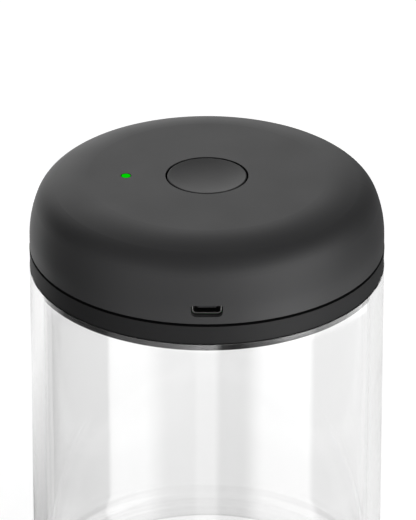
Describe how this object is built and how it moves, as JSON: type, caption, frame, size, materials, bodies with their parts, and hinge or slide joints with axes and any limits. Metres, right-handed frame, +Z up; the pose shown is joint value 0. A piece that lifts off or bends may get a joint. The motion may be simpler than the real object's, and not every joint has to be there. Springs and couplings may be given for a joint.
{
  "type": "vacuum seal canister",
  "caption": "Clear glass food canister with a matte black electric vacuum lid: dished push button, status light, charging socket and a seal that the lid's own pump holds shut.",
  "frame": {"origin": "centre of the jar's foot, on the surface it stands on", "axes": "+Z up along the jar's axis; -Y to the front, where the charging socket is; +X to the right, with the status light at -X"},
  "size_m": [0.105, 0.105, 0.1436],
  "materials": {
    "clear_glass": "clear pressed soda-lime glass, polished",
    "black_plastic": "fine spark-eroded matte ABS",
    "black_silicone": "moulded silicone rubber",
    "clear_silicone": "translucent silicone rubber",
    "carbon_rubber": "carbon-loaded rubber",
    "grey_foam": "closed-cell foam",
    "white_felt": "needled felt",
    "white_nylon": "moulded nylon",
    "grey_plastic": "moulded ABS",
    "dark_plastic": "moulded plastic",
    "green_board": "solder mask on glass-epoxy",
    "green_lens": "tinted clear acrylic, lit",
    "white_diode": "diode package",
    "nickel_steel": "nickel-plated sheet steel",
    "zinc_steel": "zinc-plated steel",
    "bright_steel": "ground steel",
    "bronze": "sintered bronze",
    "copper": "copper",
    "ferrite": "sintered ferrite or laminated iron",
    "cell_wrap": "shrink sleeve",
    "lead_black": "insulated lead"
  },
  "bodies": {
    "jar": {"glass_jar": "clear_glass"},
    "lid": {"top_cover": "black_plastic", "lid_base": "black_plastic", "filter_cap": "black_plastic", "lid_gasket": "black_silicone", "pump_diaphragm": "black_silicone", "pump_valve_disc": "black_silicone", "motor_saddle": "black_silicone", "pump_pad": "black_silicone", "button_dome": "clear_silicone", "suction_hose": "clear_silicone", "sensor_hose": "clear_silicone", "pump_foam": "grey_foam", "filter_felt": "white_felt", "inlet_fitting": "white_nylon", "board_plugs": "white_nylon", "valve_bobbin": "white_nylon", "battery_cradle": "grey_plastic", "pump_case": "grey_plastic", "pump_valve_plate": "grey_plastic", "pump_head": "grey_plastic", "control_chip": "dark_plastic", "usb_tongue": "dark_plastic", "motor_end_cap": "dark_plastic", "pressure_sensor": "dark_plastic", "main_board": "green_board", "charge_board": "green_board", "light_pipe": "green_lens", "status_diode": "white_diode", "usb_socket": "nickel_steel", "battery_tabs": "nickel_steel", "board_screws": "zinc_steel", "charge_screws": "zinc_steel", "motor_screws": "zinc_steel", "pump_screws": "zinc_steel", "motor_can": "zinc_steel", "valve_can": "zinc_steel", "vent_spring": "bright_steel", "motor_bush": "bronze", "motor_terminals": "copper", "valve_coil": "copper", "motor_magnets": "ferrite", "battery_cell": "cell_wrap", "motor_leads": "lead_black", "battery_leads": "lead_black", "charge_leads": "lead_black", "valve_leads": "lead_black"},
    "button": {"button_cap": "black_plastic", "contact_pill": "carbon_rubber"},
    "rotor": {"motor_shaft": "bright_steel", "motor_armature": "ferrite", "motor_commutator": "copper", "eccentric_wheel": "white_nylon", "swing_pin": "bright_steel"},
    "rocker": {"pump_rocker": "white_nylon"},
    "vent": {"vent_plunger": "bright_steel", "vent_seal": "black_silicone"}
  },
  "joints": [
    {"name": "lid_lift", "type": "slide", "parent": "jar", "child": "lid", "axis": [0, 0, 1], "range_m": [0, 0.1]},
    {"name": "button_press", "type": "slide", "parent": "lid", "child": "button", "axis": [0, 0, -1], "range_m": [0, 0.0011], "stiffness_N_per_m": 1800, "deforming": ["button_dome"]},
    {"name": "rotor_spin", "type": "hinge", "parent": "lid", "child": "rotor", "pos_m": [0, 0.027, 0.1242], "axis": [1, 0, 0], "continuous": true, "deforming": ["pump_diaphragm"]},
    {"name": "rocker_swing", "type": "hinge", "parent": "rotor", "child": "rocker", "pos_m": [0.0123, 0.027, 0.1242], "axis": [0.9903, 0, -0.1392], "continuous": true, "deforming": ["pump_diaphragm"]},
    {"name": "vent_lift", "type": "slide", "parent": "lid", "child": "vent", "axis": [0, 0, 1], "range_m": [0, 0.0012], "stiffness_N_per_m": 300, "deforming": ["vent_spring"]}
  ],
  "couplings": [
    {"joint": "rocker_swing", "follows": "rotor_spin", "ratio": -1}
  ]
}
